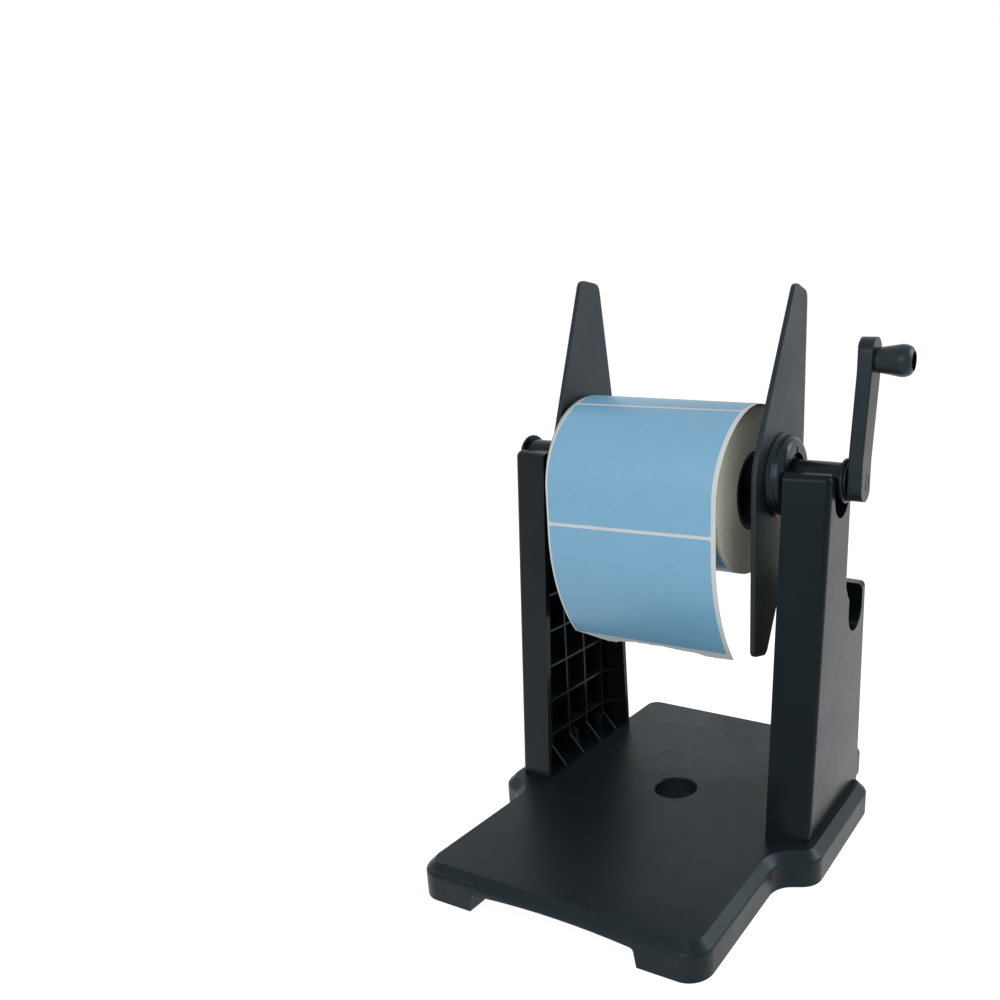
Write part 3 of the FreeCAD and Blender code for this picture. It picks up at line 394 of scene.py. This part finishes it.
# ---------------------------------------------------------------------------
# Spindle: a long smooth bar of black acetal through the roll and both flanges,
# kept endways by a washer at the crank and a spring clip at the other end.

finished_copy("spindle", "spindle_bar", 0.25, acetal)
finished_copy("crank_washer", "crank_washer_ring", 0.15, acetal)
paint_node("spindle_clip", blackened)


# ---------------------------------------------------------------------------
# Crank arm: a flat cranked bar of black ABS with round ends, held on the
# spindle's end by a countersunk steel screw, whose head is as dark as the arm.

crank_abs = moulded_abs("black ABS crank, satin", "#15191c", "#31383c", roughness=0.36,
                        level=0.2)
finished_copy("crank_arm", "crank_arm_bar", 0.35, crank_abs)
paint_node("crank_screw", crank_abs)


# ---------------------------------------------------------------------------
# Knob: a small flared grip of black ABS, rubbed smooth by hands, that turns on a
# shoulder pin of steel. The pin's head, as dark as the grip, sits in a recess in
# the grip's end, and a thin washer is behind it.

knob_abs = moulded_abs("black ABS knob, handled smooth", "#1d2225", "#394145", roughness=0.34,
                       level=0.22)
paint_node("knob_pin", knob_abs)
finished_copy("knob_washer", "knob_washer_ring", 0, acetal)
finished_copy("crank_knob", "knob_grip", 0.4, knob_abs)


# ---------------------------------------------------------------------------
# Flanges: two bow-tie plates of black ABS that stop the roll from wandering,
# each with a hub on its outer side and a rubber ring that grips the spindle.

flange_abs = moulded_abs("black ABS flange, satin", "#1b1f22", "#343a3d", roughness=0.45,
                         level=0.25)
hub_abs = moulded_abs("black ABS hub, smooth", "#101417", "#2b3134", roughness=0.3,
                      level=0.24)
for side in ("right", "left"):
    finished_copy(side + "_flange", side + "_flange_plate", 0.6, flange_abs)
    finished_copy(side + "_hub", side + "_hub_moulding", 0.4, hub_abs)
    finished_copy(side + "_grip", side + "_grip_ring", 0.2, foot_rubber)


# ---------------------------------------------------------------------------
# Core of the roll: a tube of grey-brown card, wound from strips, with a
# spiral seam along it.


def core_card_in_painted_shade(name):
    """Recycled card with long fibres and specks, drawn far darker than its own grey-brown:
    painted shade, for the shadow of the flanges it sits between.
    """
    material, tree, output = new_material(name)
    place = add(tree, "ShaderNodeTexCoord").outputs["Object"]
    fibres = add(tree, "ShaderNodeTexNoise", {"Vector": place, "Scale": 1 / (0.8 * mm),
                                              "Detail": 6.0, "Roughness": 0.7})
    # The card's colours are drawn near black: painted shade of the flanges on each side of the
    # core.
    paint = add(tree, "ShaderNodeMix", {"Factor": fibres.outputs["Fac"],
                                        6: linear("#2b2926"), 7: linear("#403b36")},
                data_type="RGBA")
    bump = add(tree, "ShaderNodeBump", {"Height": fibres.outputs["Fac"],
                                        "Strength": 0.4, "Distance": 0.05 * mm})
    body = add(tree, "ShaderNodeBsdfPrincipled", {
        "Base Color": paint.outputs[2],
        "Roughness": 0.85,
        "Specular IOR Level": 0.25,
        "Normal": bump.outputs[0],
    })
    tree.links.new(body.outputs[0], output.inputs["Surface"])
    return material


finished_copy("roll_core", "card_core", 0.2, core_card_in_painted_shade("grey-brown card"))


# ---------------------------------------------------------------------------
# Roll: one long strip of backing paper wound on the core in a spiral, which
# wanders a little from turn to turn, and the blue labels on its outer turn. The
# free end, in the next section, covers its top and its front.

corner_rows = 5


def strip_rows(length, step, corner=0.0):
    """Places along a strip, and how far its sides are drawn in at each."""
    rounded = []
    for number in range(corner_rows if corner else 0):
        turn = math.radians(90) * number / corner_rows
        rounded.append((corner * (1 - math.cos(turn)), corner * (1 - math.sin(turn))))
    count = max(1, round((length - 2 * corner) / step))
    straight = [(corner + (length - 2 * corner) * number / count, 0.0)
                for number in range(count + 1)]
    return rounded + straight + [(length - along, inset) for along, inset in reversed(rounded)]


def flat_strip(name, width, length, thickness, step, corner=0.0):
    """A thin closed strip: X across it, Y along it and Z through it."""
    points = []
    for along, inset in strip_rows(length, step, corner):
        for across, up in ((inset, 0), (width - inset, 0), (width - inset, thickness),
                           (inset, thickness)):
            points.append((across, along, up))
    faces = []
    for start in range(0, len(points) - 4, 4):
        for side in range(4):
            after = (side + 1) % 4
            faces.append((start + side, start + after, start + 4 + after, start + 4 + side))
    faces.append((3, 2, 1, 0))
    last = len(points) - 4
    faces.append((last, last + 1, last + 2, last + 3))
    mesh = bpy.data.meshes.new(name)
    mesh.from_pydata(points, [], faces)
    piece = bpy.data.objects.new(name, mesh)
    bpy.context.scene.collection.objects.link(piece)
    return piece


def winding_tree():
    """Repeat a flat strip along its length and wind it into a spiral about the roll's axis.

    Y along the strip becomes an angle, from the front over the top, and the radius
    falls by the pitch in each turn. The strip wavers sideways with its radius.
    """
    tree = bpy.data.node_groups.new("wound on the roll", "GeometryNodeTree")
    tree.interface.new_socket("Geometry", in_out="INPUT", socket_type="NodeSocketGeometry")
    for name in ("Radius", "Pitch", "Left", "Depth", "Height", "Start", "Step", "Waver"):
        tree.interface.new_socket(name, in_out="INPUT", socket_type="NodeSocketFloat")
    tree.interface.new_socket("Copies", in_out="INPUT", socket_type="NodeSocketInt")
    tree.interface.new_socket("Paper", in_out="INPUT", socket_type="NodeSocketMaterial")
    tree.interface.new_socket("Geometry", in_out="OUTPUT", socket_type="NodeSocketGeometry")
    given = add(tree, "NodeGroupInput").outputs
    start = add(tree, "ShaderNodeCombineXYZ", {"Y": given["Start"]})
    step = add(tree, "ShaderNodeCombineXYZ", {"Y": given["Step"]})
    starts = add(tree, "GeometryNodeMeshLine", {"Count": given["Copies"],
                                                "Start Location": start.outputs[0],
                                                "Offset": step.outputs[0]})
    copies = add(tree, "GeometryNodeInstanceOnPoints", {"Points": starts.outputs[0],
                                                        "Instance": given["Geometry"]})
    strips = add(tree, "GeometryNodeRealizeInstances", {0: copies.outputs[0]})
    place = add(tree, "GeometryNodeInputPosition")
    parts = add(tree, "ShaderNodeSeparateXYZ", {0: place.outputs[0]}).outputs

    def worked(operation, first, second=None):
        inputs = {0: first} if second is None else {0: first, 1: second}
        return add(tree, "ShaderNodeMath", inputs, operation=operation).outputs[0]

    angle = worked("DIVIDE", parts["Y"], given["Radius"])
    turns = worked("DIVIDE", angle, 2 * math.pi)
    radius = worked("SUBTRACT", given["Radius"], worked("MULTIPLY", turns, given["Pitch"]))
    proud = worked("ADD", radius, parts["Z"])
    ripple_place = add(tree, "ShaderNodeCombineXYZ", {"X": turns})
    ripple = add(tree, "ShaderNodeTexNoise", {"Vector": ripple_place.outputs[0],
                                              "Scale": 0.37, "Detail": 5.0,
                                              "Roughness": 0.75})
    centred = worked("SUBTRACT", ripple.outputs["Fac"], 0.5)
    sideways = worked("MULTIPLY", centred, given["Waver"])
    across = worked("ADD", worked("ADD", parts["X"], given["Left"]), sideways)
    depth = worked("SUBTRACT", given["Depth"], worked("MULTIPLY", proud,
                                                      worked("COSINE", angle)))
    height = worked("ADD", given["Height"], worked("MULTIPLY", proud, worked("SINE", angle)))
    wound_place = add(tree, "ShaderNodeCombineXYZ", {"X": across, "Y": depth, "Z": height})
    wound = add(tree, "GeometryNodeSetPosition", {"Geometry": strips.outputs[0],
                                                  "Position": wound_place.outputs[0]})
    dressed = add(tree, "GeometryNodeSetMaterial", {"Geometry": wound.outputs[0],
                                                    "Material": given["Paper"]})
    add(tree, "NodeGroupOutput", {"Geometry": dressed.outputs[0]})
    return tree


def wind(strip, tree, sizes):
    """Run a strip through the winding tree and keep the plain mesh, in its place."""
    modifier = strip.modifiers.new("wound", "NODES")
    modifier.node_group = tree
    for item in tree.interface.items_tree:
        if item.in_out == "INPUT" and item.name in sizes:
            modifier[item.identifier] = sizes[item.name]
    made_plain(strip)


def coated_paper(name, colour, shade, roughness, level, speck):
    """Smooth coated paper with a faint cloudiness in its colour.

    The cloud is the formation of the sheet, a few millimetres across, and a fine
    tooth of a tenth of a millimetre, drawn coarser, breaks the sheen.
    """
    material, tree, output = new_material(name)
    place = add(tree, "ShaderNodeTexCoord").outputs["Object"]
    cloud = add(tree, "ShaderNodeTexNoise", {"Vector": place, "Scale": 1 / (9 * mm),
                                             "Detail": 5.0, "Roughness": 0.6})
    tooth = add(tree, "ShaderNodeTexNoise", {"Vector": place, "Scale": 1 / (speck * mm),
                                             "Detail": 2.0})
    paint = add(tree, "ShaderNodeMix", {"Factor": cloud.outputs["Fac"],
                                        6: linear(colour), 7: linear(shade)},
                data_type="RGBA")
    bump = add(tree, "ShaderNodeBump", {"Height": tooth.outputs["Fac"],
                                        "Strength": 0.12, "Distance": 0.02 * mm})
    body = add(tree, "ShaderNodeBsdfPrincipled", {
        "Base Color": paint.outputs[2],
        "Roughness": roughness,
        "IOR": 1.5,
        "Specular IOR Level": level,
        "Normal": bump.outputs[0],
    })
    tree.links.new(body.outputs[0], output.inputs["Surface"])
    return material


blue_label = coated_paper("blue coated label paper", "#7aafcf", "#72a6c6", 0.38, 0.6, 0.4)
white_liner = coated_paper("white glassine backing", "#d3d7d7", "#cacece", 0.38, 0.4, 0.5)
# The wound paper is drawn greyer and darker than cream paper: partly the grey of paper seen
# edge-on, partly painted shade of the flange over the roll's end.
wound_edges = coated_paper("wound backing paper", "#cdcfbf", "#b9bbab", 0.6, 0.3, 0.4)

roll_low, roll_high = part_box("label_roll")
core_low, core_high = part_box("roll_core")
roll_radius = (roll_high.y - roll_low.y) / 2
roll_axis = Vector((0, (roll_low.y + roll_high.y) / 2, (core_low.z + core_high.z) / 2))
core_radius = (core_high.z - core_low.z) / 2
web_width = roll_high.x - roll_low.x
left_margin = 1.2 * mm
right_margin = 2.8 * mm
label_gap = 1.8 * mm
label_length = 73.0 * mm
label_thickness = 0.10 * mm
label_corner = 1.5 * mm
label_row = 2.0 * mm
turn_pitch = 0.31 * mm
turn_rows = 64
paper_share = 0.96
label_edge_turn = math.radians(40)
label_step = label_length + label_gap
label_width = web_width - left_margin - right_margin
first_gap = 54.6 * mm

wound = winding_tree()
liner_radius = roll_radius - label_thickness
turn_count = (liner_radius - core_radius) / turn_pitch
places = {"Radius": liner_radius, "Pitch": turn_pitch, "Left": roll_low.x,
          "Depth": roll_axis.y, "Height": roll_axis.z, "Start": 0.0, "Step": 0.0,
          "Waver": 0.9 * mm, "Copies": 1, "Paper": wound_edges}
outer_turn = 2 * math.pi * liner_radius
paper_turns = flat_strip("paper_turns", web_width, turn_count * outer_turn,
                         -paper_share * turn_pitch, outer_turn / turn_rows)
wind(paper_turns, wound, places)
clad(paper_turns, wound_edges, "label_roll")

roll_labels = flat_strip("roll_labels", label_width, label_length,
                         label_thickness, label_row, label_corner)
places.update({"Left": roll_low.x + left_margin, "Start": first_gap + label_gap - label_step,
               "Step": label_step, "Copies": 5, "Waver": 0.0, "Paper": blue_label})
wind(roll_labels, wound, places)
roll_labels.data.set_sharp_from_angle(angle=label_edge_turn)
roll_labels.data.materials.clear()
roll_labels.data.materials.append(blue_label)
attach(roll_labels, "label_roll")


# ---------------------------------------------------------------------------
# Free end: the outer turn of backing paper, which lies over the roll's top and
# front, hangs straight down and curls back. It carries three labels, a little
# askew, and ends in a tear.

web_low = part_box("label_web")[0]
web_straight = 25.0 * mm
web_curl_radius = 105.0 * mm
web_lap = first_gap + label_gap / 2 + label_step
liner_thickness = 0.12 * mm
web_clearance = 0.15 * mm
web_slide = 2.4 * mm
web_skew = 2.2 * mm
skew_pivot = 0.27
lap_radius = roll_radius + web_clearance
label_end = 93.2 * mm


def hung(across, along, proud):
    """The place of a point of the free end: along it from the roll's front, proud of its back.

    The stretch that still lies on the roll has slid over it, most near its top, and
    what is to the right of the pivot hangs a little higher.
    """
    front = roll_axis.y - lap_radius
    along -= web_skew * ((across - web_low.x) / web_width - skew_pivot)
    if along < 0:
        angle = -along / lap_radius
        slid = web_slide * math.sin(math.pi * min(1, angle * lap_radius / web_lap)) ** 1.4
        return Vector((across + slid, roll_axis.y - (lap_radius + proud) * math.cos(angle),
                       roll_axis.z + (lap_radius + proud) * math.sin(angle)))
    if along < web_straight:
        return Vector((across, front - proud, roll_axis.z - along))
    angle = (along - web_straight) / web_curl_radius
    radius = web_curl_radius + proud
    return Vector((across, front + web_curl_radius - radius * math.cos(angle),
                   roll_axis.z - web_straight - radius * math.sin(angle)))


tear = ((0.0, 0.2), (0.11, 3.6), (0.15, 5.1), (0.2, 6.5), (0.25, 6.6), (0.28, 5.0),
        (0.39, 2.8), (0.5, 3.3), (0.55, 2.4), (0.66, 3.8), (0.78, 4.2), (0.83, 6.1),
        (0.91, 6.1), (1.0, 5.2))


def torn_edge(share):
    """How far the tear runs below the last label, at a share of the web's width."""
    for (low, near), (high, far) in zip(tear, tear[1:]):
        if share <= high:
            depth = near + (far - near) * (share - low) / (high - low)
            break
    ragged = 0.5 * noise.noise(Vector((share * 23.0, 3.1, 0.0)))
    fibres = 0.35 * noise.noise(Vector((share * 71.0, 9.7, 0.0)))
    return max(0.15, depth + ragged + fibres) * mm


columns = 130
rows = 84
front_side = []
back_side = []
for column in range(columns + 1):
    share = column / columns
    across = web_low.x + web_width * share
    for row in range(rows + 1):
        along = -web_lap + (label_end + web_lap) * row / rows
        if row == rows:
            along = label_end + torn_edge(share)
        back_side.append(hung(across, along, 0))
        front_side.append(hung(across, along, liner_thickness))
points = back_side + front_side
faces = []
layer = len(back_side)
for column in range(columns):
    for row in range(rows):
        first = column * (rows + 1) + row
        second = first + rows + 1
        faces.append((first, first + 1, second + 1, second))
        faces.append((layer + first, layer + second, layer + second + 1, layer + first + 1))
border = [column * (rows + 1) for column in range(columns + 1)]
border += [columns * (rows + 1) + row for row in range(1, rows + 1)]
border += [column * (rows + 1) + rows for column in range(columns - 1, -1, -1)]
border += [row for row in range(rows - 1, 0, -1)]
for place, first in enumerate(border):
    second = border[(place + 1) % len(border)]
    faces.append((first, second, layer + second, layer + first))
web_mesh = bpy.data.meshes.new("hanging_web")
web_mesh.from_pydata(points, [], faces)
web_mesh.shade_smooth()
web_mesh.set_sharp_from_angle(angle=label_edge_turn)
hanging_web = bpy.data.objects.new("hanging_web", web_mesh)
bpy.context.scene.collection.objects.link(hanging_web)
clad(hanging_web, white_liner, "label_web")
torn_length = sum(torn_edge(column / columns) for column in range(columns + 1)) / (columns + 1)

hanging_labels = bpy.data.objects.new("hanging_labels", bpy.data.meshes.new("hanging_labels"))
bpy.context.scene.collection.objects.link(hanging_labels)
gathered = bmesh.new()
for number in range(3):
    top = label_end - label_length - number * label_step
    label = flat_strip("label_blank", label_width, label_length,
                       label_thickness, label_row, label_corner)
    for vertex in label.data.vertices:
        vertex.co = hung(web_low.x + left_margin + vertex.co.x, top + vertex.co.y,
                         liner_thickness + vertex.co.z)
    label.data.flip_normals()
    gathered.from_mesh(label.data)
    bpy.data.objects.remove(label)
gathered.to_mesh(hanging_labels.data)
gathered.free()
hanging_labels.data.shade_smooth()
hanging_labels.data.set_sharp_from_angle(angle=label_edge_turn)
clad(hanging_labels, blue_label, "web_labels")

# The free end's paper and its labels each get a mesh of their own.
for paper in (hanging_web, hanging_labels):
    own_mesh(paper)
